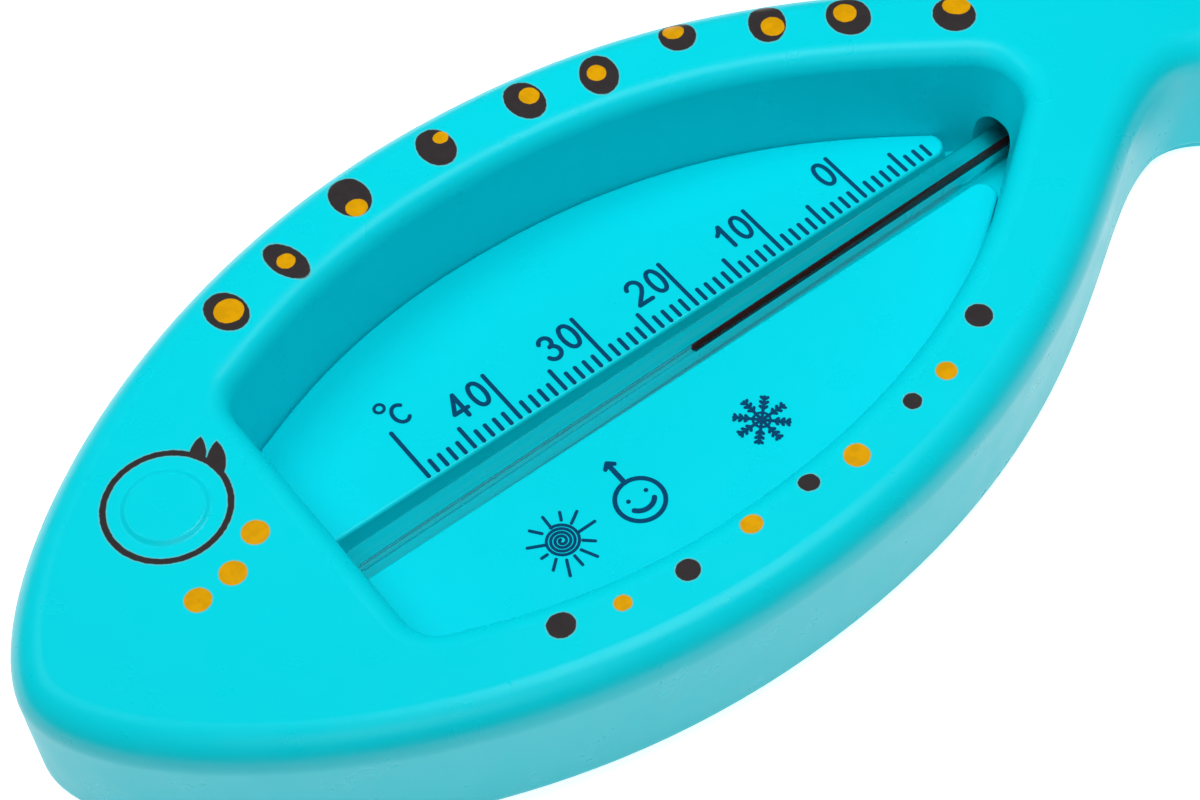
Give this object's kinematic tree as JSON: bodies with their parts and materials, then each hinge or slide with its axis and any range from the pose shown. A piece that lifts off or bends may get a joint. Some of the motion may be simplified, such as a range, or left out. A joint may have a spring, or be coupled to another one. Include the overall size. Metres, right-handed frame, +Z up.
{
  "type": "water thermometer",
  "caption": "Fish-shaped float for bath water, with a liquid-in-glass tube along the scale in its deep leaf-shaped window.",
  "frame": {"origin": "middle of the bounding box at the underside of the back cover", "axes": "+X from the head towards the tail, along the glass tube; +Y towards the side with the eye; +Z up out of the window"},
  "size_m": [0.148, 0.064, 0.0158],
  "materials": {
    "turquoise_plastic": "smooth, slightly glossy moulded plastic",
    "clear_glass": "clear polished glass",
    "dark_red_liquid": "dark red dyed liquid, nearly black in the bore"
  },
  "bodies": {
    "root": {"front_shell": "turquoise_plastic", "back_cover": "turquoise_plastic", "glass_tube": "clear_glass", "thermometer_liquid": "dark_red_liquid"}
  },
  "joints": []
}
